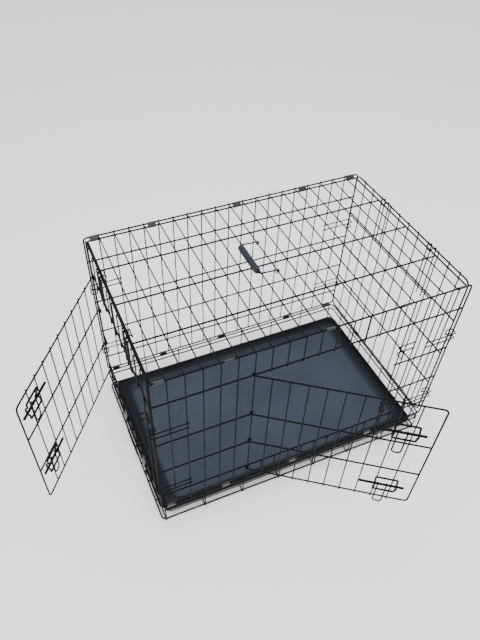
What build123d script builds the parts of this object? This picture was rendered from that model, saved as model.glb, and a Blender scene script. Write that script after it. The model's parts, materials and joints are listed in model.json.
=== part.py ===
"""Folding wire dog crate, 30-inch size, with a front door, an end door and a slide-out tray.

Units are millimetres. The origin is the centre of the plan on the floor, +X runs along the
length to the right, -Y faces the front door and +Z is up. Every wire is its own solid, and
each STEP file holds one named piece, or one group of identical pieces.
"""

import os
from math import cos, radians, sin, tan

from build123d import *

os.makedirs("parts", exist_ok=True)

# Wire and weld sizes
GRID_R = 1.5  # radius of the uprights and other thin wires
RAIL_R = 2.0  # radius of the frames, the rails and the wires across a panel
WELD = 0.1  # depth to which two crossing wires are welded
PITCH = 38.0  # spacing of the uprights along the length
END_PITCH = 40.0  # spacing of the uprights across the ends
LENGTH = 20 * PITCH
LAP = GRID_R + RAIL_R - WELD  # thin wire lying on a rail
SAME = RAIL_R - GRID_R  # thin wire whose outer side is flush with the rails
STUB = 1.6  # how far an upright runs past the rail it is welded to

# Base
BASE_X = 381.0  # end rails
BASE_Y = 240.2  # side rails
RIM_Z = 64.0
BASE_BEND = 12.0  # bend of the rails at the corners
MID_Z = 48.0
FLOOR_Z = 2 * GRID_R + RAIL_R - WELD
CROSS_X = [106.3 * (i - 3.5) for i in range(8)]
LONG_Y = [60.0 * i for i in range(-3, 4)]

# Side panels
SIDE_Y = 242.0
SIDE_LOW, SIDE_HIGH = 73.0, 549.5
SIDE_LEVELS = [126.0, 232.0, 342.0, 478.0]
HOOK_LEVELS = [162.0, 388.0]

# Top panel
TOP_X, TOP_Y, TOP_Z = 371.0, 237.0, 543.0
TOP_LONG_Y = [-121.7, 0.0, 121.7]

# End panels
END_X, END_Y = 376.0, 236.0
END_LOW, END_HIGH = 79.0, 551.0
RIGHT_LEVELS = [200.0, 315.0, 430.0]
LEFT_LEVELS = [115.0, 230.0, 343.0, 455.0]
LEFT_OPEN = 200.0  # half width of the end door's opening

# Doors
EYE_R = 3.9  # centreline radius of the hinge eyes
FRONT_HINGE_X, FRONT_LATCH_X = -4 * PITCH, 6 * PITCH
FRONT_ANGLE, LEFT_ANGLE = 35.6, 36.0  # how far each door stands open
FRONT_DOOR_W, LEFT_DOOR_W = 391.0, 410.0
FRONT_DOOR_LEVELS = [120.0, 242.0, 350.0, 484.0]
LEFT_DOOR_LEVELS = [109.5, 224.0, 349.0, 461.0]
FRONT_LATCHES = [185.0, 397.0]
LEFT_LATCHES = [176.0, 395.0]

# Slide-bolt latches
RING_R, RING_SIDE = 2.3, 50.0
BOLT_R, BOLT_L = 3.0, 106.0
LOOP_R, LOOP_DROP, LOOP_W = 1.75, 67.0, 20.0
GAP = 0.3
RING_Q = EYE_R + LAP + GRID_R + RING_R - WELD
BOLT_Q = EYE_R + LAP + GRID_R + GAP + BOLT_R
BOW_Q = BOLT_Q + BOLT_R + GAP + RING_R
HANG_R = BOLT_R + 0.35 + LOOP_R

# Sheet clips
CLIP_L, CLIP_T, CLIP_PLAY = 20.0, 1.0, 0.1
TOP_CLIPS = [-355.0, -209.0, 19.0, 209.0, 355.0]
LOW_CLIPS = [-356.0, -209.0, -19.0, 209.0, 356.0]
LEFT_CLIPS = [-100.0, 60.0]
RIGHT_CLIPS = [-95.0, 95.0]

# Carrying handle
HANDLE_Y = (-34.0, 76.0)
HANDLE_REACH = 47.0
HANDLE_RISE = 3.6  # how much higher the grip lies than the arms
GRIP_R, GRIP_L = 8.0, 94.0

# Tray
TRAY_X0, TRAY_X1, TRAY_Y = -372.0, 373.5, 227.0
TRAY_MID = -6.0  # it lies a little nearer the front
TRAY_Z0, TRAY_Z1, LEDGE_Z = 7.2, 30.0, 20.0
WELL_X0, WELL_X1, WELL_Y = -338.0, 345.0, 200.0
SKIN = 2.0

# Each panel is drawn on its own plane: x across it, y up it and z out of the crate.
FRONT = Plane(origin=(0, -SIDE_Y, 0), x_dir=(1, 0, 0), z_dir=(0, -1, 0))
BACK = Plane(origin=(0, SIDE_Y, 0), x_dir=(-1, 0, 0), z_dir=(0, 1, 0))
LEFT = Plane(origin=(-END_X, 0, 0), x_dir=(0, -1, 0), z_dir=(-1, 0, 0))
RIGHT = Plane(origin=(END_X, 0, 0), x_dir=(0, 1, 0), z_dir=(1, 0, 0))
TOP = Plane(origin=(0, 0, TOP_Z), x_dir=(1, 0, 0), z_dir=(0, 0, 1))
FLOOR = Plane.XY


def on(plane, points):
    """Take points from a panel's plane to the crate's axes."""
    return [plane.from_local_coords(Vector(*p)) for p in points]


def rod(plane, start, end, radius=GRID_R):
    """Make a straight wire."""
    a, b = on(plane, (start, end))
    return Solid.make_cylinder(radius, (b - a).length, Plane(origin=a, z_dir=b - a))


def bend_wire(points, bend, closed=False):
    """Join points by straight lines, with a round bend at each corner."""
    count = len(points)
    corners = range(count) if closed else range(1, count - 1)
    bends = {}
    for i in corners:
        here = points[i]
        back = (points[i - 1] - here).normalized()
        ahead = (points[(i + 1) % count] - here).normalized()
        half = radians(back.get_angle(ahead)) / 2
        step = bend / tan(half)
        middle = here + (back + ahead).normalized() * (bend / sin(half) - bend)
        bends[i] = (here + back * step, middle, here + ahead * step)
    edges = []
    if closed:
        at = bends[0][2]
        order = [*range(1, count), 0]
    else:
        at = points[0]
        order = list(corners)
    for i in order:
        a, middle, b = bends[i]
        if (a - at).length > 1e-4:
            edges.append(Edge.make_line(at, a))
        edges.append(Edge.make_three_point_arc(a, middle, b))
        at = b
    if not closed:
        edges.append(Edge.make_line(at, points[-1]))
    return edges


def thicken(edges, radius):
    """Give a chain of edges the wire's round section."""
    path = Wire(edges)
    section = Plane(origin=path.position_at(0), z_dir=path.tangent_at(0)) * Circle(radius)
    return sweep(section, path=path).solids()[0]


def bent(plane, points, radius=GRID_R, bend=5.0, closed=False):
    """Make a wire that is bent through the given points."""
    return thicken(bend_wire(on(plane, points), bend, closed), radius)


def loop(plane, x0, x1, y0, y1, bend, lift=0.0):
    """Make a closed rectangular rail with round corners."""
    corners = [(x0, y0, lift), (x1, y0, lift), (x1, y1, lift), (x0, y1, lift)]
    return bent(plane, corners, RAIL_R, bend, closed=True)


def save(name, solids):
    """Write one node, from one solid or a group of separate solids."""
    solids = list(solids) if isinstance(solids, (list, tuple)) else [solids]
    shape = solids[0] if len(solids) == 1 else Compound(children=solids)
    shape.label = name
    export_step(shape, f"parts/{name}.step")


def eye(plane, level, reach):
    """Edges of a door wire: a hinge eye, then straight along the door to reach."""
    angles = [radians(a) for a in (330, 210, 90)]
    a, m, b = on(plane, [(EYE_R * cos(t), level, EYE_R * sin(t)) for t in angles])
    end = on(plane, [(reach, level, EYE_R)])[0]
    return [Edge.make_three_point_arc(a, m, b), Edge.make_line(b, end)]


# ---------------------------------------------------------------- base


def cross_wire(x):
    """One wire across the floor, with an end turned up as a post on each side."""
    y = BASE_Y + LAP
    top = RIM_Z + STUB
    return bent(FLOOR, [(x, -y, top), (x, -y, GRID_R), (x, y, GRID_R), (x, y, top)], bend=LAP)


def long_wire(y):
    """One wire along the floor, with its right end turned up as a post."""
    z = 3 * GRID_R - WELD
    left = -BASE_X + RAIL_R - WELD
    right = BASE_X - LAP
    return bent(FLOOR, [(left, y, z), (right, y, z), (right, y, RIM_Z + STUB)], bend=6)


def mid_rail():
    """The rail half way up the base, open at the end where the tray slides out."""
    left = CROSS_X[0] - STUB
    ends = [(left, -BASE_Y), (BASE_X, -BASE_Y), (BASE_X, BASE_Y), (left, BASE_Y)]
    return bent(FLOOR, [(x, y, MID_Z) for x, y in ends], RAIL_R, BASE_BEND)


def build_base():
    save("base_cross_wires_left", [cross_wire(x) for x in CROSS_X[:4]])
    save("base_cross_wires_right", [cross_wire(x) for x in CROSS_X[4:]])
    save("base_long_wires", [long_wire(y) for y in LONG_Y])
    save("base_floor_rail", loop(FLOOR, -BASE_X, BASE_X, -BASE_Y, BASE_Y, BASE_BEND, FLOOR_Z))
    save("base_mid_rail", mid_rail())
    save("base_rim_rail", loop(FLOOR, -BASE_X, BASE_X, -BASE_Y, BASE_Y, BASE_BEND, RIM_Z))


# ---------------------------------------------------------------- panels


def uprights(plane, stations, low, high):
    """Wires up a panel, on the outer side of its rails."""
    return [rod(plane, (x, low, LAP), (x, high, LAP)) for x in stations]


def levels(plane, heights, left, right):
    """Thick wires across a panel, in the plane of its frame."""
    return [rod(plane, (left, y, 0), (right, y, 0), RAIL_R) for y in heights]


def corner_hook(plane, side, level):
    """A hairpin on a side panel whose bent end reaches round the end panel's edge."""
    out = LAP + 2 * GRID_R - WELD
    tip = SIDE_Y - END_Y + RAIL_R + GRID_R + 1
    half = 8.0
    leg = [(300, out), (LENGTH / 2 + 5.5, out), (LENGTH / 2 + 5.5, -tip), (370.5, -tip)]
    points = [(side * x, level + half, z) for x, z in leg]
    points += [(side * x, level - half, z) for x, z in reversed(leg)]
    return bent(plane, points, bend=4)


def top_hook(plane, x, foot):
    """A hairpin on an end panel whose bent end reaches over the top panel's end rail."""
    out = LAP
    over = END_HIGH + RAIL_R + GRID_R + 0.1
    tip = END_X - TOP_X + RAIL_R + GRID_R + 2
    leg = [(foot, out), (over, out), (over, -tip), (over - 8.5, -tip)]
    points = [(x - 8.5, y, z) for y, z in leg]
    points += [(x + 8.5, y, z) for y, z in reversed(leg)]
    return bent(plane, points, bend=3.2)


def keeper(plane, x, outer, level):
    """A hairpin whose bent end stands out of the panel, to hold a latch bolt."""
    out = LAP + BOLT_Q + BOLT_R + 0.5 + GRID_R
    leg = [(outer, SAME), (x, SAME), (x, out)]
    points = [(px, level + 10, z) for px, z in leg]
    points += [(px, level - 10, z) for px, z in reversed(leg)]
    return bent(plane, points, bend=4)


def side_span():
    """Where wires across a side panel meet its frame."""
    return LENGTH / 2 - RAIL_R + WELD


def build_side(name, plane):
    """The pieces that the front and back panels share."""
    half = LENGTH / 2
    save(f"{name}_frame", loop(plane, -half, half, SIDE_LOW, SIDE_HIGH, 9))
    hooks = [corner_hook(plane, s, level) for s in (-1, 1) for level in HOOK_LEVELS]
    save(f"{name}_corner_hooks", hooks)


def build_back():
    build_side("back", BACK)
    stations = [PITCH * i for i in range(-9, 10)]
    save("back_uprights", uprights(BACK, stations, SIDE_LOW - STUB, SIDE_HIGH + STUB))
    save("back_cross_wires", levels(BACK, SIDE_LEVELS, -side_span(), side_span()))


def build_front():
    build_side("front", FRONT)
    low, high = SIDE_LOW - STUB, SIDE_HIGH + STUB
    left = [PITCH * i for i in range(-9, -4)]
    right = [PITCH * i for i in range(7, 10)]
    between = [PITCH * i for i in range(-3, 6)]
    sill, head = SIDE_LEVELS[0], SIDE_LEVELS[-1]
    end = side_span()
    save("front_uprights", uprights(FRONT, left + right, low, high))
    save("front_hinge_wire", uprights(FRONT, [FRONT_HINGE_X], low, high))
    save("front_latch_wire", uprights(FRONT, [FRONT_LATCH_X], low, high))
    save("front_lower_stubs", uprights(FRONT, between, low, sill + STUB))
    save("front_upper_stubs", uprights(FRONT, between, head - STUB, high))
    wires = levels(FRONT, [sill, head], -end, end)
    wires += levels(FRONT, SIDE_LEVELS[1:-1], -end, FRONT_HINGE_X + STUB)
    wires += levels(FRONT, SIDE_LEVELS[1:-1], FRONT_LATCH_X - STUB, end)
    save("front_cross_wires", wires)
    save("front_keepers", [keeper(FRONT, FRONT_LATCH_X - 6, 272, z) for z in FRONT_LATCHES])


def build_top():
    save("top_frame", loop(TOP, -TOP_X, TOP_X, -TOP_Y, TOP_Y, 5))
    end = TOP_X - RAIL_R + WELD
    save("top_long_wires", [rod(TOP, (-end, y, 0), (end, y, 0), RAIL_R) for y in TOP_LONG_Y])
    edge = TOP_Y + STUB
    stations = [PITCH * i for i in range(-9, 10)]
    save("top_cross_wires", [rod(TOP, (x, -edge, LAP), (x, edge, LAP)) for x in stations])


def build_end(name, plane, feet):
    """The pieces that both end panels share. Feet are the heights where its hooks start."""
    save(f"{name}_frame", loop(plane, -END_Y, END_Y, END_LOW, END_HIGH, 14))
    turn = plane.x_dir.Y
    hooks = [top_hook(plane, turn * y, foot) for y, foot in zip((-100.0, 98.0), feet)]
    save(f"{name}_top_hooks", hooks)


def build_right():
    build_end("right_end", RIGHT, (400.0, 422.0))
    stations = [END_PITCH * i for i in range(-5, 6)]
    end = END_Y - RAIL_R + WELD
    save("right_end_uprights", uprights(RIGHT, stations, END_LOW - STUB, END_HIGH + STUB))
    save("right_end_cross_wires", levels(RIGHT, RIGHT_LEVELS, -end, end))


def build_left():
    build_end("left_end", LEFT, (449.0, 449.0))
    low, high = END_LOW - STUB, END_HIGH + STUB
    stations = [END_PITCH * i for i in range(-4, 5)]
    sill, head = LEFT_LEVELS[0], LEFT_LEVELS[-1]
    end = END_Y - RAIL_R + WELD
    inner = LEFT_OPEN - STUB
    save("left_end_uprights", uprights(LEFT, [-LEFT_OPEN, LEFT_OPEN], low, high))
    stubs = uprights(LEFT, stations, low, sill + STUB)
    stubs += uprights(LEFT, stations, head - STUB, high)
    save("left_end_stubs", stubs)
    wires = levels(LEFT, [sill, head], -end, end)
    wires += levels(LEFT, LEFT_LEVELS[1:-1], -end, -inner)
    wires += levels(LEFT, LEFT_LEVELS[1:-1], inner, end)
    save("left_end_cross_wires", wires)
    save("left_end_keepers", [keeper(LEFT, LEFT_OPEN - 6, 227, z) for z in LEFT_LATCHES])


# ---------------------------------------------------------------- clips


def clip(centre, first, second, along):
    """A strip of sheet wrapped round two parallel rails. Points are (across, up)."""
    (a, b), (c, d) = first, second
    base = Plane(origin=centre, x_dir=(0, 1, 0) if along == "X" else (1, 0, 0),
                 z_dir=(1, 0, 0) if along == "X" else (0, -1, 0))
    length = ((c - a) ** 2 + (d - b) ** 2) ** 0.5
    angle = Vector(1, 0, 0).get_signed_angle(Vector(c - a, d - b, 0), Vector(0, 0, 1))
    inner = RAIL_R + CLIP_PLAY
    outline = SlotCenterToCenter(length, 2 * (inner + CLIP_T))
    hollow = SlotCenterToCenter(length, 2 * inner)
    middle = Location(((a + c) / 2, (b + d) / 2, -CLIP_L / 2), (0, 0, angle))
    ring = base * middle * (outline - hollow)
    return extrude(ring, CLIP_L, dir=base.z_dir).solids()[0]


def build_clips():
    for name, side in (("front", -1), ("back", 1)):
        rail, panel = (side * TOP_Y, TOP_Z), (side * SIDE_Y, SIDE_HIGH)
        save(f"{name}_top_clips", [clip((x, 0, 0), rail, panel, "X") for x in TOP_CLIPS])
        rail, panel = (side * BASE_Y, RIM_Z), (side * SIDE_Y, SIDE_LOW)
        save(f"{name}_base_clips", [clip((x, 0, 0), rail, panel, "X") for x in LOW_CLIPS])
    for name, side, places in (("left", -1, LEFT_CLIPS), ("right", 1, RIGHT_CLIPS)):
        rail, panel = (side * BASE_X, RIM_Z), (side * END_X, END_LOW)
        save(f"{name}_end_clips", [clip((0, y, 0), rail, panel, "Y") for y in places])


# ---------------------------------------------------------------- doors


def door_plane(hinge, closed, angle):
    """The door's own plane, turned open about its hinge: x along the door, z outward."""
    along = Vector(*closed).rotate(Axis.Z, -angle)
    out = Vector(closed[1], -closed[0], 0).rotate(Axis.Z, -angle)
    return Plane(origin=hinge, x_dir=along, z_dir=out)


def door_frame(plane, width, low, high):
    """One wire: an eye, the top rail, the free side, the bottom rail and an eye."""
    upper, lower = eye(plane, high, width - 12), eye(plane, low, width - 12)
    points = [(width - 12, high, EYE_R), (width, high, EYE_R), (width, low, EYE_R)]
    points.append((width - 12, low, EYE_R))
    side = bend_wire(on(plane, points), 10)
    return thicken(upper + side + [e.reversed() for e in reversed(lower)], RAIL_R)


def ring(plane, left, level):
    """A square ring whose two upright sides bow out over the bolt."""
    half = RING_SIDE / 2
    right = left + RING_SIDE
    side = [(half, RING_Q), (14, RING_Q), (5.8, BOW_Q), (-5.8, BOW_Q), (-14, RING_Q), (-half, RING_Q)]
    points = [(left, level + y, z) for y, z in side]
    points += [(right, level + y, z) for y, z in reversed(side)]
    return bent(plane, points, RING_R, 3.6, closed=True)


def latch_loop(plane, left, level):
    """A finger loop that hooks over the bolt and hangs outside the ring."""
    right = left + LOOP_W
    out = BOLT_Q + HANG_R
    bottom = level - LOOP_DROP
    points = [(left, level, out), (left, bottom, out), (right, bottom, out), (right, level, out)]
    edges = bend_wire(on(plane, points), 8.5)

    def hook(x):
        angles = [radians(a) for a in (0, 50, 100)]
        return on(plane, [(x, level + HANG_R * sin(t), BOLT_Q + HANG_R * cos(t)) for t in angles])

    first = Edge.make_three_point_arc(*reversed(hook(left)))
    last = Edge.make_three_point_arc(*hook(right))
    return thicken([first, *edges, last], LOOP_R)


def build_door(name, plane, width, pitch, heights, latches, keeper_x):
    """A door with its two slide-bolt latches."""
    low, high = heights[0], heights[-1]
    save(f"{name}_frame", door_frame(plane, width, low, high))
    wires = [thicken(eye(plane, z, width - RAIL_R + WELD), RAIL_R) for z in heights[1:-1]]
    save(f"{name}_cross_wires", wires)
    q = EYE_R + LAP
    stations = [pitch * i for i in range(1, 10)]
    save(f"{name}_uprights", [rod(plane, (x, low - STUB, q), (x, high + STUB, q)) for x in stations])
    left = 8 * pitch - 2
    save(f"{name}_latch_rings", [ring(plane, left, z) for z in latches])
    tip = keeper_x - 4
    for place, z in zip(("lower", "upper"), latches):
        bolt = rod(plane, (tip - BOLT_L, z, BOLT_Q), (tip, z, BOLT_Q), BOLT_R)
        bolt = chamfer(bolt.edges().filter_by(GeomType.CIRCLE), 0.8)
        save(f"{name}_{place}_bolt", bolt.solids()[0])
        save(f"{name}_{place}_loop", latch_loop(plane, left + 7.5, z))


def build_doors():
    hinge = (FRONT_HINGE_X, -SIDE_Y - LAP, 0)
    front = door_plane(hinge, (1, 0, 0), FRONT_ANGLE)
    latch = FRONT_LATCH_X - 6 - FRONT_HINGE_X
    build_door("front_door", front, FRONT_DOOR_W, PITCH, FRONT_DOOR_LEVELS, FRONT_LATCHES, latch)
    hinge = (-END_X - LAP, LEFT_OPEN, 0)
    left = door_plane(hinge, (0, -1, 0), LEFT_ANGLE)
    latch = 2 * LEFT_OPEN - 6
    build_door("left_door", left, LEFT_DOOR_W, END_PITCH, LEFT_DOOR_LEVELS, LEFT_LATCHES, latch)


# ---------------------------------------------------------------- tray, stop and handle


def block(x0, x1, y, z0, z1, corner, flare=0.0):
    """A tapered block with round corners: flare is how much wider it is at the top."""
    def face(z, grow):
        plan = RectangleRounded(x1 - x0 + 2 * grow, 2 * (y + grow), corner + grow)
        return Pos((x0 + x1) / 2, 0, z) * plan
    return loft([face(z0, -flare), face(z1, 0)])


def tray():
    """A thin pan: a well, a ledge round it and a flared outer wall."""
    inset = 5.0
    outer = block(TRAY_X0, TRAY_X1, TRAY_Y, TRAY_Z0, TRAY_Z1, 22, inset)
    rise = (LEDGE_Z - TRAY_Z0) / (TRAY_Z1 - TRAY_Z0)
    at_ledge = inset * (1 - rise)
    dish = block(TRAY_X0 + 4, TRAY_X1 - 4, TRAY_Y - 4, LEDGE_Z + SKIN, TRAY_Z1 + 0.01, 18, at_ledge - 2)
    well = block(WELL_X0 + SKIN, WELL_X1 - SKIN, WELL_Y - SKIN, TRAY_Z0 + SKIN, LEDGE_Z + SKIN + 0.01, 26, 5)
    under = block(
        TRAY_X0 + at_ledge + SKIN, TRAY_X1 - at_ledge - SKIN, TRAY_Y - at_ledge - SKIN,
        TRAY_Z0 - 0.01, LEDGE_Z, 16, inset - at_ledge,
    )
    keep = block(WELL_X0, WELL_X1, WELL_Y, TRAY_Z0 - 0.02, LEDGE_Z + 0.02, 28, 5)
    pan = outer - dish - well - (under - keep)
    top = LEDGE_Z + SKIN
    ribs = []
    for x in (TRAY_X0 + 12, TRAY_X1 - 22):
        for i in range(2):
            ribs.append(Pos(x + 10 * i, 0, top + 0.6) * Box(5, 2 * TRAY_Y - 100, 1.6))
    for side in (-1, 1):
        for i in range(2):
            ribs.append(Pos(0, side * (WELL_Y + 6 + 10 * i), top + 0.6) * Box(620, 5, 1.6))
    for i in range(-2, 3):
        ribs.append(Pos(0, 62 * i, TRAY_Z0 + SKIN + 0.3) * Box(590, 8, 1.0))
    for rib in ribs:
        pan += rib
    return (Pos(0, TRAY_MID, 0) * pan).solids()[0]


def curl(x, z, y, radius, start, stop):
    """An arc about a rail that runs along Y, between two angles from +X towards +Z."""
    angles = [radians(a) for a in (start, (start + stop) / 2, stop)]
    return [Vector(x + radius * cos(t), y, z + radius * sin(t)) for t in angles]


def pan_stop():
    """A wire bail that hangs from the rim rail, outside the tray's end."""
    radius = RAIL_R + 0.4 + GRID_R
    x, half, bottom = -BASE_X - radius, 45.0, 24.0
    arms = [Edge.make_three_point_arc(*curl(-BASE_X, RIM_Z, y, radius, -60, 180)) for y in (-half, half)]
    points = [(x, -half, RIM_Z), (x, -half, bottom), (x, half, bottom), (x, half, RIM_Z)]
    side = bend_wire([Vector(*p) for p in points], 8)
    return thicken([arms[0], *side, arms[1].reversed()], GRID_R)


def handle_bail():
    """A wire bail that turns on the middle wire across the top."""
    wire, radius = 1.75, GRID_R + 0.4 + 1.75
    z = TOP_Z + LAP
    lift = z + radius
    y0, y1 = HANDLE_Y
    arms = [Edge.make_three_point_arc(*curl(0, z, y, radius, -150, 90)) for y in HANDLE_Y]
    points = [(0, y0, lift), (-12, y0, lift), (-HANDLE_REACH, y0, lift + HANDLE_RISE)]
    points += [(-HANDLE_REACH, y1, lift + HANDLE_RISE), (-12, y1, lift), (0, y1, lift)]
    side = bend_wire([Vector(*p) for p in points], 6)
    return thicken([arms[0], *side, arms[1].reversed()], wire)


def handle_grip():
    """A ridged plastic sleeve on the bail."""
    z = TOP_Z + LAP + GRID_R + 0.4 + 1.75 + HANDLE_RISE
    ridge, count = 6.0, 15
    start = -GRIP_L / 2
    outline = [(1.8, start), (GRIP_R - 1.2, start)]
    for i in range(count):
        at = start + 2 + ridge * i
        outline += [(GRIP_R - 1.2, at), (GRIP_R, at + 1.2), (GRIP_R, at + 3.6), (GRIP_R - 1.2, at + 4.8)]
    outline += [(GRIP_R - 1.2, -start), (1.8, -start)]
    points = [p for i, p in enumerate(outline) if i == 0 or p != outline[i - 1]]
    face = make_face(Polyline(*[(r, 0, t) for r, t in points], close=True))
    sleeve = revolve(face, Axis.Z, 360)
    middle = (HANDLE_Y[0] + HANDLE_Y[1]) / 2
    return (Pos(-HANDLE_REACH, middle, z) * Rot(90, 0, 0) * sleeve).solids()[0]


build_base()
build_back()
build_front()
build_top()
build_right()
build_left()
build_clips()
build_doors()
save("tray", tray())
save("pan_stop", pan_stop())
save("handle_bail", handle_bail())
save("handle_grip", handle_grip())
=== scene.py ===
"""Looks of a folding wire dog crate: coats, weld beads, the moulded tray and the studio."""

import json
import logging
import math
from dataclasses import dataclass, field
from enum import Enum
from typing import Sequence, Union

import bmesh
import bpy
import numpy as np
from mathutils import Euler, Matrix, Vector


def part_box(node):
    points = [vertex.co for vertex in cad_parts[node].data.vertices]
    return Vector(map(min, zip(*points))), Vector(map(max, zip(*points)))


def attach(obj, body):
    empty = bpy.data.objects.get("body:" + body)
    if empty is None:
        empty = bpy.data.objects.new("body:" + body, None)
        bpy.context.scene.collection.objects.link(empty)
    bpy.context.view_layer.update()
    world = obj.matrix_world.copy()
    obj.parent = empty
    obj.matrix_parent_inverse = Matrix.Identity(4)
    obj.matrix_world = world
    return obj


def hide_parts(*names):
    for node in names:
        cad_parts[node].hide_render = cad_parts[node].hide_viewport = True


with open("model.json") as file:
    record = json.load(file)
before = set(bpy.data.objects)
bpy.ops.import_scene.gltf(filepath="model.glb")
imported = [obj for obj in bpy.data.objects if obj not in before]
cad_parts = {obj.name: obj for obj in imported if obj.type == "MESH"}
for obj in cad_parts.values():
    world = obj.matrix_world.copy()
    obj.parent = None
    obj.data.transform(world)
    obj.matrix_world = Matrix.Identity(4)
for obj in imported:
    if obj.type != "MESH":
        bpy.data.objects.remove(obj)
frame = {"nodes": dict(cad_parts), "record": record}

MM = 0.001

# Longer than any side of a bend's facets, and shorter than any straight run.
SHORTEST_RUN = 15 * MM

# A run whose points lie further than this from its own line is not one wire.
THICKEST_WIRE = 4 * MM
FEWEST_SIDES = 3

# Two wires are welded where the gap between their skins is no more than this.
WELD_REACH = 0.3 * MM
SAME_LINE = 1e-5
PARALLEL = 1e-12

# How far past a wire's ends, as a share of its length, a crossing still counts.
END_SLACK = 0.01
log = logging.getLogger("crate")
Colour = tuple[float, float, float]
Operand = Union["Value", float]


class Slot(Enum):
    """The record's material slots."""

    WIRE = "wire_coat"
    CLIP = "clip_steel"
    TRAY = "tray_plastic"
    GRIP = "grip_plastic"


class Value:
    """A number that changes over a surface, for use in plain expressions."""

    def __init__(self, graph: "Graph", socket: bpy.types.NodeSocket) -> None:
        """Wrap a socket.

        Args:
            graph: The material's graph that the socket belongs to.
            socket: The output socket that gives the number.
        """
        self.graph = graph
        self.socket = socket

    def _math(self, operation: str, first: Operand, second: Operand) -> "Value":
        """Add a Math node.

        Args:
            operation: The Math node's operation.
            first: The first operand.
            second: The second operand.

        Returns:
            The node's result.
        """
        made = self.graph.node("ShaderNodeMath", {"operation": operation}, {0: first, 1: second})
        return Value(self.graph, made.outputs[0])

    def __add__(self, other: Operand) -> "Value":
        """Add."""
        return self._math("ADD", self, other)

    def __radd__(self, other: Operand) -> "Value":
        """Add, with the value on the right."""
        return self._math("ADD", other, self)

    def __sub__(self, other: Operand) -> "Value":
        """Subtract."""
        return self._math("SUBTRACT", self, other)

    def __rsub__(self, other: Operand) -> "Value":
        """Subtract, with the value on the right."""
        return self._math("SUBTRACT", other, self)

    def __mul__(self, other: Operand) -> "Value":
        """Multiply."""
        return self._math("MULTIPLY", self, other)

    def __rmul__(self, other: Operand) -> "Value":
        """Multiply, with the value on the right."""
        return self._math("MULTIPLY", other, self)


class Graph:
    """The nodes of one material."""

    def __init__(self, name: str) -> None:
        """Start a material with a Principled shader.

        Args:
            name: The material's name.
        """
        self.material = bpy.data.materials.new(name)
        self.material.use_nodes = True
        self.tree = self.material.node_tree
        self.tree.nodes.clear()
        self.shader = self.node("ShaderNodeBsdfPrincipled")
        output = self.node("ShaderNodeOutputMaterial")
        self.tree.links.new(self.shader.outputs["BSDF"], output.inputs["Surface"])

    def node(
        self,
        kind: str,
        settings: dict[str, object] | None = None,
        sockets: dict[str | int, object] | None = None,
    ) -> bpy.types.Node:
        """Add a node.

        Args:
            kind: The node's type.
            settings: The node's own settings.
            sockets: Values or links for its inputs.

        Returns:
            The new node.
        """
        made = self.tree.nodes.new(kind)
        for key, value in (settings or {}).items():
            setattr(made, key, value)
        for key, value in (sockets or {}).items():
            self.feed(made.inputs[key], value)
        return made

    def feed(self, socket: bpy.types.NodeSocket, value: object) -> None:
        """Set a socket's value, or link it.

        Args:
            socket: The input to set.
            value: A number, a vector, a socket or a Value.
        """
        if isinstance(value, Value):
            value = value.socket
        if isinstance(value, bpy.types.NodeSocket):
            self.tree.links.new(value, socket)
        else:
            socket.default_value = value

    def place(self, stretch: Sequence[float] = (1, 1, 1)) -> bpy.types.NodeSocket:
        """Give the position on the object, stretched along its axes."""
        where = self.node("ShaderNodeTexCoord").outputs["Object"]
        scale = {"Vector": where, "Scale": tuple(stretch)}
        return self.node("ShaderNodeMapping", None, scale).outputs["Vector"]

    def height(self) -> Value:
        """Give the height above the floor the crate stands on, in metres."""
        parts = self.node("ShaderNodeSeparateXYZ", None, {"Vector": self.place()})
        return Value(self, parts.outputs["Z"])

    def noise(
        self, scale: float, detail: float = 3.0, stretch: Sequence[float] = (1, 1, 1)
    ) -> Value:
        """Give a noise from 0 to 1.

        Args:
            scale: How many waves there are in a metre.
            detail: How many finer layers are added.
            stretch: How the noise is squeezed along each axis.

        Returns:
            The noise.
        """
        sockets = {"Vector": self.place(stretch), "Scale": scale, "Detail": detail}
        return Value(self, self.node("ShaderNodeTexNoise", None, sockets).outputs["Fac"])

    def step(self, value: Value, low: float, high: float) -> Value:
        """Turn a value into a mask that rises from 0 at low to 1 at high."""
        sockets = {"Value": value, "From Min": low, "From Max": high}
        settings = {"interpolation_type": "SMOOTHSTEP"}
        return Value(self, self.node("ShaderNodeMapRange", settings, sockets).outputs["Result"])

    def blend(self, mask: Value, first: object, second: object) -> bpy.types.NodeSocket:
        """Mix two colours.

        Args:
            mask: 0 for the first colour and 1 for the second.
            first: A colour or a colour socket.
            second: A colour or a colour socket.

        Returns:
            The mixed colour's socket.
        """
        made = self.node("ShaderNodeMix", {"data_type": "RGBA"})
        self.feed(made.inputs[0], mask)
        for socket, colour in ((made.inputs[6], first), (made.inputs[7], second)):
            self.feed(socket, (*colour, 1.0) if isinstance(colour, tuple) else colour)
        return made.outputs[2]

    def bump(self, height: Value, depth: float, strength: float) -> None:
        """Give the shader a bump.

        Args:
            height: The height over the surface, from 0 to 1.
            depth: The depth of that height in metres.
            strength: How much of it shows.
        """
        sockets = {"Height": height, "Distance": depth, "Strength": strength}
        made = self.node("ShaderNodeBump", None, sockets)
        self.feed(self.shader.inputs["Normal"], made.outputs["Normal"])

    def finish(self, colour: object, roughness: Operand, **sockets: float) -> bpy.types.Material:
        """Set the shader's colour and roughness.

        Args:
            colour: The base colour or its socket.
            roughness: The roughness.
            **sockets: Other shader inputs, with _ for a space.

        Returns:
            The material.
        """
        self.feed(self.shader.inputs["Base Color"], colour)
        self.feed(self.shader.inputs["Roughness"], roughness)
        for key, value in sockets.items():
            self.feed(self.shader.inputs[key.replace("_", " ")], value)
        return self.material


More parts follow.
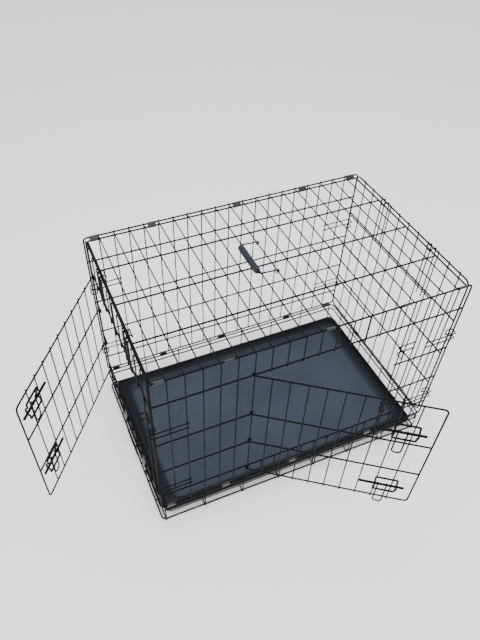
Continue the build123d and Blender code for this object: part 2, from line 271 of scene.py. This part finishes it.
@dataclass(frozen=True)
class DippedCoat:
    """The black coat on the wires: thin, satin, with a fine ripple and a little dust."""

    name: str = "black_dipped_wire"
    base: Colour = (0.0014, 0.0015, 0.0019)
    dust: Colour = (0.0036, 0.0038, 0.0044)
    satin: float = 0.40

    def material(self) -> bpy.types.Material:
        """Build the coat's material."""
        g = Graph(self.name)
        ripple, cloud, speck = g.noise(900, 2), g.noise(35, 4), g.noise(2600, 1)
        dusty = g.step(cloud, 0.48, 0.78) * 0.55 + g.step(speck, 0.68, 0.76) * 0.35
        g.bump(ripple * 0.7 + speck * 0.3, 0.00012, 0.45)
        colour = g.blend(dusty, self.base, self.dust)
        return g.finish(colour, self.satin + cloud * 0.12 + dusty * 0.12, Specular_IOR_Level=0.07)


@dataclass(frozen=True)
class WeldCoat:
    """The same coat where it covers a spot weld: rougher, with a burnt edge."""

    name: str = "black_coat_on_welds"
    base: Colour = (0.0016, 0.0017, 0.0020)
    burnt: Colour = (0.0045, 0.0040, 0.0038)

    def material(self) -> bpy.types.Material:
        """Build the weld's material."""
        g = Graph(self.name)
        grain, patch = g.noise(1800, 3), g.noise(160, 2)
        g.bump(grain, 0.00025, 0.6)
        colour = g.blend(g.step(patch, 0.42, 0.62), self.base, self.burnt)
        return g.finish(colour, 0.48 + grain * 0.14, Specular_IOR_Level=0.06)


@dataclass(frozen=True)
class ClipCoat:
    """Coated steel strip: smoother than the wire, with rolling lines along it, and scuffs made
    paler partly as a painted highlight.
    """

    name: str = "black_coated_strip"
    base: Colour = (0.0025, 0.0025, 0.0028)
    # The worn colour is partly real wear and partly painted highlight: it is made pale to stand in
    # for the glint on the strip.
    worn: Colour = (0.013, 0.0125, 0.012)

    def material(self) -> bpy.types.Material:
        """Build the strip's material."""
        g = Graph(self.name)
        lines = g.noise(500, 2, (0.08, 1.0, 1.0))
        # Scuffs at random: partly real wear, partly a painted highlight.
        scuff_and_highlight = g.step(g.noise(240, 4), 0.62, 0.74)
        g.bump(lines * 0.6 + scuff_and_highlight * 0.4, 0.0001, 0.5)
        colour = g.blend(scuff_and_highlight * 0.6, self.base, self.worn)
        return g.finish(colour, 0.26 + lines * 0.10 + scuff_and_highlight * 0.14, Specular_IOR_Level=0.5)


@dataclass(frozen=True)
class TrayPlastic:
    """Blue-black moulded plastic, glossy at the rim; the well is painted a paler slate as a
    painted reflection of the bright surroundings, and both are scratched.
    """

    name: str = "blue_black_tray"
    rim: Colour = (0.003, 0.004, 0.0065)
    rim_pale: Colour = (0.008, 0.010, 0.016)
    # The well's slate colours are painted reflection: the same blue-black plastic, lightened to
    # stand in for the bright surroundings it reflects. The paler one is its worn variant.
    reflection_slate: Colour = (0.024, 0.033, 0.046)
    reflection_slate_worn: Colour = (0.038, 0.051, 0.069)
    # Below the first height the well takes the painted reflection; above the second the rim keeps
    # the plastic's own blue-black.
    painted_reflection_top: float = 17.0 * MM
    rim_low: float = 22.5 * MM

    def material(self) -> bpy.types.Material:
        """Build the plastic's material."""
        g = Graph(self.name)
        grain, cloud = g.noise(1400, 2), g.noise(6, 4)
        along = g.step(g.noise(260, 2, (0.03, 1.0, 1.0)), 0.66, 0.72)
        across = g.step(g.noise(230, 2, (1.0, 0.04, 1.0)), 0.67, 0.73)
        scratch = along * 0.6 + across * 0.4
        g.bump(grain * 0.7 - scratch * 0.5, 0.00015, 0.35)
        worn = g.step(cloud, 0.35, 0.7) * 0.45 + scratch * 0.25
        # The well's colour is painted reflection with real wear; the rim's is the plastic's own
        # colour with real wear.
        well = g.blend(worn, self.reflection_slate, self.reflection_slate_worn)
        rim = g.blend(worn, self.rim, self.rim_pale)
        # Mask by height: 0 in the well, where the painted reflection goes, and 1 on the rim.
        rim_above_painted_well = g.step(g.height(), self.painted_reflection_top, self.rim_low)
        rough = 0.34 + cloud * 0.12 + scratch * 0.12
        return g.finish(g.blend(rim_above_painted_well, well, rim), rough - rim_above_painted_well * 0.12, Specular_IOR_Level=0.16)


@dataclass(frozen=True)
class GripPlastic:
    """Blue-black plastic of the handle's sleeve, polished a little by hands."""

    name: str = "blue_black_grip"
    base: Colour = (0.012, 0.015, 0.022)
    rubbed: Colour = (0.030, 0.036, 0.048)

    def material(self) -> bpy.types.Material:
        """Build the sleeve's material."""
        g = Graph(self.name)
        grain, rub = g.noise(2200, 2), g.step(g.noise(90, 3), 0.5, 0.75)
        g.bump(grain, 0.0002, 0.5)
        colour = g.blend(rub * 0.6, self.base, self.rubbed)
        return g.finish(colour, 0.34 + grain * 0.12, Specular_IOR_Level=0.25)


@dataclass(frozen=True)
class PaleFloor:
    """A plain pale studio floor with a faint mottle."""

    name: str = "pale_floor"
    base: Colour = (0.97, 0.97, 0.97)
    shade: Colour = (0.95, 0.95, 0.955)

    def material(self) -> bpy.types.Material:
        """Build the floor's material."""
        g = Graph(self.name)
        cloud = g.noise(3, 3)
        return g.finish(g.blend(cloud, self.base, self.shade), 0.75 + cloud * 0.1)


@dataclass
class Finishes:
    """Each finish, made once."""

    wire: bpy.types.Material = field(default_factory=lambda: DippedCoat().material())
    weld: bpy.types.Material = field(default_factory=lambda: WeldCoat().material())
    clip: bpy.types.Material = field(default_factory=lambda: ClipCoat().material())
    tray: bpy.types.Material = field(default_factory=lambda: TrayPlastic().material())
    grip: bpy.types.Material = field(default_factory=lambda: GripPlastic().material())

    def of(self, slot: Slot) -> bpy.types.Material:
        """Give the material of one of the record's slots."""
        return {
            Slot.WIRE: self.wire,
            Slot.CLIP: self.clip,
            Slot.TRAY: self.tray,
            Slot.GRIP: self.grip,
        }[slot]


def dress(obj: bpy.types.Object, material: bpy.types.Material) -> None:
    """Give an object one material."""
    obj.data.materials.clear()
    obj.data.materials.append(material)


def add_mesh(name: str, shape: bmesh.types.BMesh, smooth: bool = True) -> bpy.types.Object:
    """Turn a bmesh into an object in the scene.

    Args:
        name: The piece's name.
        shape: The mesh, which is used up.
        smooth: Whether its faces are shaded smooth.

    Returns:
        The new object.
    """
    data = bpy.data.meshes.new(name)
    shape.to_mesh(data)
    shape.free()
    data.polygons.foreach_set("use_smooth", [smooth] * len(data.polygons))
    obj = bpy.data.objects.new(name, data)
    bpy.context.scene.collection.objects.link(obj)
    return obj


@dataclass
class Wire:
    """A straight wire, by the middle of each of its ends."""

    start: Vector
    end: Vector
    radius: float

    def meet(self, other: "Wire") -> tuple[Vector, Vector] | None:
        """Find where another wire lies against this one.

        Args:
            other: The wire that may cross this one.

        Returns:
            The point between the two and the direction from one to the other, or None.
        """
        a, b = self.end - self.start, other.end - other.start
        between = other.start - self.start
        cross = a.cross(b)
        size = cross.length_squared
        if size < PARALLEL:
            return None
        s = between.cross(b).dot(cross) / size
        t = between.cross(a).dot(cross) / size
        if not all(-END_SLACK <= share <= 1 + END_SLACK for share in (s, t)):
            return None
        here, there = self.start + a * s, other.start + b * t
        gap = (there - here).length
        if not SAME_LINE < gap < self.radius + other.radius + WELD_REACH:
            return None
        return here.lerp(there, self.radius / (self.radius + other.radius)), (there - here) / gap


def wires_of(node: str) -> list[Wire]:
    """Read the straight runs of a CAD node's wires.

    A run's sides are long edges, and a bend's or an eye's are short. So following the long edges
    alone gives each run on its own.

    Args:
        node: The CAD node's name.

    Returns:
        One wire for each straight run.
    """
    shape = bmesh.new()
    shape.from_mesh(frame["nodes"][node].data)
    bmesh.ops.remove_doubles(shape, verts=shape.verts, dist=1e-6)
    seen, found = set(), []
    for first in shape.verts:
        if first in seen:
            continue
        island, front = [], [first]
        seen.add(first)
        while front:
            vert = front.pop()
            island.append(vert.co.copy())
            for edge in vert.link_edges:
                other = edge.other_vert(vert)
                if other not in seen and edge.calc_length() > SHORTEST_RUN:
                    seen.add(other)
                    front.append(other)
        if len(island) < FEWEST_SIDES * 2:
            continue
        points = np.array(island)
        middle = points.mean(0)
        axis = np.linalg.svd(points - middle, full_matrices=False)[2][0]
        along = (points - middle) @ axis
        off = np.linalg.norm(points - middle - np.outer(along, axis), axis=1)
        radius = float(off.max())
        if radius < THICKEST_WIRE:
            ends = [Vector(middle + axis * d) for d in (along.min(), along.max())]
            found.append(Wire(*ends, radius))
    shape.free()
    return found


@dataclass
class WeldBeads:
    """The small nuggets where wires are spot-welded to each other."""

    name: str
    body: str
    first: Sequence[str]
    second: Sequence[str]
    rails: Sequence[Wire] = ()
    spread: float = 2.1 * MM
    height: float = 0.75 * MM
    least: float = 0.85
    growth: float = 0.3

    def build(self) -> bpy.types.Object:
        """Build a bead at each crossing.

        Returns:
            One piece with all the panel's beads.
        """
        these = [w for node in self.first for w in wires_of(node)]
        those = [w for node in self.second for w in wires_of(node)] + list(self.rails)
        shape = bmesh.new()
        for index, wire in enumerate(these):
            for turn, other in enumerate(those):
                met = wire.meet(other)
                if met is None:
                    continue
                place, out = met
                along = (wire.end - wire.start).normalized()
                side = out.cross(along).normalized()
                grow = self.least + self.growth * math.sin(12.9898 * index + 78.233 * turn) ** 2
                basis = Matrix((along * self.spread * grow, side * self.spread, out * self.height))
                self._bead(shape, basis.transposed(), place)
        return add_mesh(self.name, shape)

    @staticmethod
    def _bead(shape: bmesh.types.BMesh, basis: Matrix, place: Vector) -> None:
        """Add a flattened, four-lobed nugget.

        Args:
            shape: The mesh to add to.
            basis: The nugget's three half axes.
            place: Its centre.
        """
        made = bmesh.ops.create_icosphere(shape, subdivisions=2, radius=1.0)["verts"]
        for vert in made:
            turn = math.atan2(vert.co.y, vert.co.x)
            lobe = 1.0 + 0.14 * math.cos(4 * turn)
            point = Vector((vert.co.x * lobe, vert.co.y * lobe, vert.co.z))
            vert.co = place + basis @ point

    def dress(self, obj: bpy.types.Object, finishes: Finishes) -> None:
        """Coat the beads and fix them to their panel."""
        dress(obj, finishes.weld)
        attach(obj, self.body)


@dataclass
class Panel:
    """A welded wire panel: its frame's two rails and the wires on them."""

    name: str
    body: str
    uprights: Sequence[str]
    cross: Sequence[str]
    outline: str = ""
    across: int = 0
    up: int = 2
    rail: float = 2.0 * MM

    def rails(self) -> list[Wire]:
        """Give the frame's two rails that the uprights cross."""
        if not self.outline:
            return []
        low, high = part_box(self.outline)
        found = []
        for level in (low[self.up] + self.rail, high[self.up] - self.rail):
            ends = []
            for far in (low[self.across], high[self.across]):
                point = (low + high) / 2
                point[self.up], point[self.across] = level, far
                ends.append(point)
            found.append(Wire(*ends, self.rail))
        return found

    def build(self, finishes: Finishes) -> bpy.types.Object:
        """Build the panel's weld beads and fix them on.

        Args:
            finishes: The finishes to use.

        Returns:
            The piece with the beads.
        """
        beads = WeldBeads(f"{self.name}_welds", self.body, self.uprights, self.cross, self.rails())
        made = beads.build()
        beads.dress(made, finishes)
        return made


@dataclass
class Ring:
    """A round-cornered rectangle at one height, in millimetres."""

    left: float
    right: float
    half: float
    corner: float
    z: float

    def numbers(self) -> np.ndarray:
        """Give the ring as an array, for working between rings."""
        return np.array([self.left, self.right, self.half, self.corner, self.z], float)

    def points(self, steps: int) -> list[Vector]:
        """Give the ring's points, in metres.

        Args:
            steps: How many points each corner has.

        Returns:
            The points in order round the ring.
        """
        found = []
        centres = (
            (self.right - self.corner, self.half - self.corner, 0),
            (self.left + self.corner, self.half - self.corner, 90),
            (self.left + self.corner, -self.half + self.corner, 180),
            (self.right - self.corner, -self.half + self.corner, 270),
        )
        for x, y, start in centres:
            for i in range(steps + 1):
                turn = math.radians(start + 90 * i / steps)
                px, py = x + self.corner * math.cos(turn), y + self.corner * math.sin(turn)
                found.append(Vector((px, py, self.z)) * MM)
        return found


@dataclass
class Tray:
    """The moulded pan: a flared wall with a rolled lip, a ribbed ledge and a well."""

    body: str = "tray"
    flare: float = 5.0
    skin: float = 2.0
    ledge: float = 22.0
    well: tuple[float, float, float] = (-336.0, 343.0, 198.0)
    floor: float = 9.2
    ribs: int = 2
    rib: float = 1.4
    foot_corner: float = 17
    ledge_corner: float = 28

    # The rolled lip, as inset from the outline, corner radius and drop from the rim.
    lip: tuple[tuple[float, float, float], ...] = (
        (0.9, 21, 3),
        (0, 22, 1),
        (1.4, 20.6, 0),
        (3.6, 18.4, 1.2),
    )

    def limits(self) -> tuple[float, ...]:
        """Give the CAD tray's left, right, half width, middle, foot and rim, in millimetres."""
        low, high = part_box("tray")
        half, middle = (high.y - low.y) / 2, (high.y + low.y) / 2
        return tuple(v / MM for v in (low.x, high.x, half, middle, low.z, high.z))

    def profile(self) -> list[Ring]:
        """Give the rings from the outer foot, over the lip and down to the well's floor."""
        x0, x1, y, _, z0, z1 = self.limits()
        left, right, half = self.well
        rings = [Ring(x0 + self.flare, x1 - self.flare, y - self.flare, self.foot_corner, z0)]
        for inset, corner, drop in self.lip:
            rings.append(Ring(x0 + inset, x1 - inset, y - inset, corner, z1 - drop))
        rings.append(Ring(x0 + 5.2, x1 - 5.2, y - 5.2, self.foot_corner, self.ledge))
        outer = Ring(x0 + 8.5, x1 - 8.5, y - 8.5, 16, 0).numbers()
        inner = Ring(left - 4, right + 4, half + 4, self.ledge_corner, 0).numbers()
        count = 2 * self.ribs
        for i in range(count + 1):
            at = outer + (inner - outer) * i / count
            lift = self.rib if i % 2 else 0.0
            rings.append(Ring(*at[:4], self.ledge + lift))
        rings += [
            Ring(left, right, half, 26, self.ledge - 1.5),
            Ring(left + 4, right - 4, half - 4, 22, self.floor + 1.2),
            Ring(left + 7, right - 7, half - 7, 19, self.floor),
        ]
        return rings

    def underside(self) -> list[Ring]:
        """Give the rings from inside the foot, up under the ledge and down under the well."""
        x0, x1, y, _, z0, _ = self.limits()
        left, right, half = self.well
        shelf = self.ledge - self.skin
        return [
            Ring(x0 + self.flare + 2, x1 - self.flare - 2, y - self.flare - 2, 15, z0),
            Ring(x0 + 5.0, x1 - 5.0, y - 5.0, 17, shelf),
            Ring(left - 3.5, right + 3.5, half + 3.5, 27, shelf),
            Ring(left + 2, right - 2, half - 2, 24, z0),
            Ring(left + 12, right - 12, half - 12, 18, z0),
        ]

    @staticmethod
    def soften(rings: list[Ring], radius: float, steps: int) -> list[Ring]:
        """Round the profile's corners.

        Args:
            rings: The profile.
            radius: The length that each bend takes from the straights beside it.
            steps: How many rings each bend has.

        Returns:
            The rounded profile.
        """
        numbers = [r.numbers() for r in rings]
        found = [numbers[0]]
        for before, here, after in zip(numbers, numbers[1:], numbers[2:]):
            sides = []
            for other in (before, after):
                gap = math.hypot(other[2] - here[2], other[4] - here[4])
                sides.append(here + (other - here) * min(radius / gap, 0.45))
            for i in range(steps + 1):
                t = i / steps
                bend = sides[0] * (1 - t) ** 2 + here * 2 * t * (1 - t) + sides[1] * t ** 2
                found.append(bend)
        found.append(numbers[-1])
        return [Ring(*n) for n in found]

    def build(self) -> bpy.types.Object:
        """Build the pan as a closed skin.

        Returns:
            The piece, which stands for the CAD tray.
        """
        upper, under = self.soften(self.profile(), 2.4, 3), self.soften(self.underside(), 2.0, 3)
        shape = bmesh.new()
        middle = Vector((0, self.limits()[3] * MM, 0))
        rows = [[shape.verts.new(p + middle) for p in r.points(10)] for r in upper + under[::-1]]
        for here, after in zip(rows, rows[1:]):
            if here is rows[len(upper) - 1]:
                continue
            for i in range(len(here)):
                j = (i + 1) % len(here)
                shape.faces.new((here[i], here[j], after[j], after[i]))
        first, last = rows[0], rows[-1]
        for i in range(len(first)):
            j = (i + 1) % len(first)
            shape.faces.new((last[i], last[j], first[j], first[i]))
        shape.faces.new(rows[len(upper) - 1])
        shape.faces.new(rows[len(upper)][::-1])
        bmesh.ops.recalc_face_normals(shape, faces=shape.faces)
        made = add_mesh("tray_pan", shape)
        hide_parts("tray")
        return made

    def dress(self, obj: bpy.types.Object, finishes: Finishes) -> None:
        """Give the pan its plastic and fix it to the tray's body."""
        dress(obj, finishes.tray)
        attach(obj, self.body)


class CadWork:
    """Every CAD node that shows, each in its slot's finish."""

    def dress(self, finishes: Finishes) -> int:
        """Give each node its finish.

        Args:
            finishes: The finishes to use.

        Returns:
            How many nodes were dressed.
        """
        slots = {s["node"]: Slot(s["material_slot"]) for s in frame["record"]["subparts"]}
        for name, obj in frame["nodes"].items():
            dress(obj, finishes.of(slots[name]))
            log.info("%s: %s", name, slots[name].value)
        return len(slots)


@dataclass(frozen=True)
class Lamp:
    """A square soft light: where it hangs, its side in metres and its power in watts."""

    name: str
    place: tuple[float, float, float]
    side: float
    power: float


@dataclass
class Studio:
    """A pale floor, soft lights and the camera."""

    lamps: tuple[Lamp, ...] = (
        Lamp("top_light", (0.3, -0.4, 2.6), 3.0, 70.0),
        Lamp("left_light", (-2.4, -1.2, 1.9), 2.0, 36.0),
    )
    aim: tuple[float, float, float] = (0, 0, 0.2)
    sky: tuple[float, float, float, float] = (0.95, 0.97, 1.0, 1.0)
    sky_strength: float = 1.3
    eye: Vector = field(default_factory=lambda: Vector((-0.5352, -0.9514, 1.4443)))
    turn: tuple[float, float, float] = (42.527, -0.710, -22.947)
    lens: float = 22.7145
    shift: tuple[float, float] = (0.02646, 0.03911)

    def build(self) -> None:
        """Build the floor, the lights and the camera."""
        self._floor()
        self._lights()
        self._camera()

    def _floor(self) -> None:
        """Lay a large floor under the crate."""
        shape = bmesh.new()
        bmesh.ops.create_grid(shape, x_segments=8, y_segments=8, size=6.0)
        floor = add_mesh("studio_floor", shape, smooth=False)
        dress(floor, PaleFloor().material())

    def _lights(self) -> None:
        """Hang two soft lights over the crate and whiten the surroundings."""
        world = bpy.data.worlds.new("studio")
        world.use_nodes = True
        back = world.node_tree.nodes["Background"]
        back.inputs["Color"].default_value = self.sky
        back.inputs["Strength"].default_value = self.sky_strength
        bpy.context.scene.world = world
        for lamp in self.lamps:
            self._hang(lamp)

    def _hang(self, lamp: Lamp) -> None:
        """Hang a soft light that faces the crate.

        Args:
            lamp: The light to hang.
        """
        data = bpy.data.lights.new(lamp.name, "AREA")
        data.size, data.energy = lamp.side, lamp.power
        obj = bpy.data.objects.new(lamp.name, data)
        obj.location = lamp.place
        facing = Vector(self.aim) - Vector(lamp.place)
        obj.rotation_euler = facing.to_track_quat("-Z", "Y").to_euler()
        bpy.context.scene.collection.objects.link(obj)

    def _camera(self) -> None:
        """Set up the camera."""
        data = bpy.data.cameras.new("camera")
        data.sensor_fit, data.sensor_height = "VERTICAL", 24.0
        data.lens = self.lens
        data.shift_x, data.shift_y = self.shift
        obj = bpy.data.objects.new("camera", data)
        obj.location = self.eye
        obj.rotation_euler = Euler([math.radians(a) for a in self.turn], "XYZ")
        bpy.context.scene.collection.objects.link(obj)
        bpy.context.scene.camera = obj


def panels() -> list[Panel]:
    """Name each welded panel with its body and its wires."""
    front = (
        "front_uprights", "front_hinge_wire", "front_latch_wire",
        "front_lower_stubs", "front_upper_stubs",
    )
    left = ("left_end_uprights", "left_end_stubs")
    right = ("right_end_uprights",)
    made = [
        Panel("back", "crate", ("back_uprights",), ("back_cross_wires",), "back_frame"),
        Panel("front", "crate", front, ("front_cross_wires",), "front_frame"),
        Panel("top", "crate", ("top_cross_wires",), ("top_long_wires",), "top_frame", 0, 1),
    ]
    for end, uprights in (("left_end", left), ("right_end", right)):
        made.append(
            Panel(end, f"{end}_panel", uprights, (f"{end}_cross_wires",), f"{end}_frame", 1)
        )
    for door in ("front_door", "left_door"):
        across = (f"{door}_cross_wires", f"{door}_frame")
        made.append(Panel(door, door, (f"{door}_uprights",), across))
    return made


def numbers(box: Sequence[Vector]) -> list[list[float]]:
    """Turn a box into plain lists."""
    return [[float(v) for v in corner] for corner in box]


def main() -> None:
    """Build and dress the crate and its studio, and report each piece."""
    logging.basicConfig(level=logging.INFO, format="%(name)s: %(message)s")
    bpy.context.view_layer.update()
    finishes = Finishes()
    log.info("dressed %d CAD nodes", CadWork().dress(finishes))
    for panel in panels():
        made = panel.build(finishes)
        log.info("%s: %d faces", made.name, len(made.data.polygons))
    tray = Tray()
    pan = tray.build()
    tray.dress(pan, finishes)
    log.info("%s: %d faces", pan.name, len(pan.data.polygons))
    Studio().build()
    bpy.context.view_layer.update()


if __name__ == "__main__":
    main()
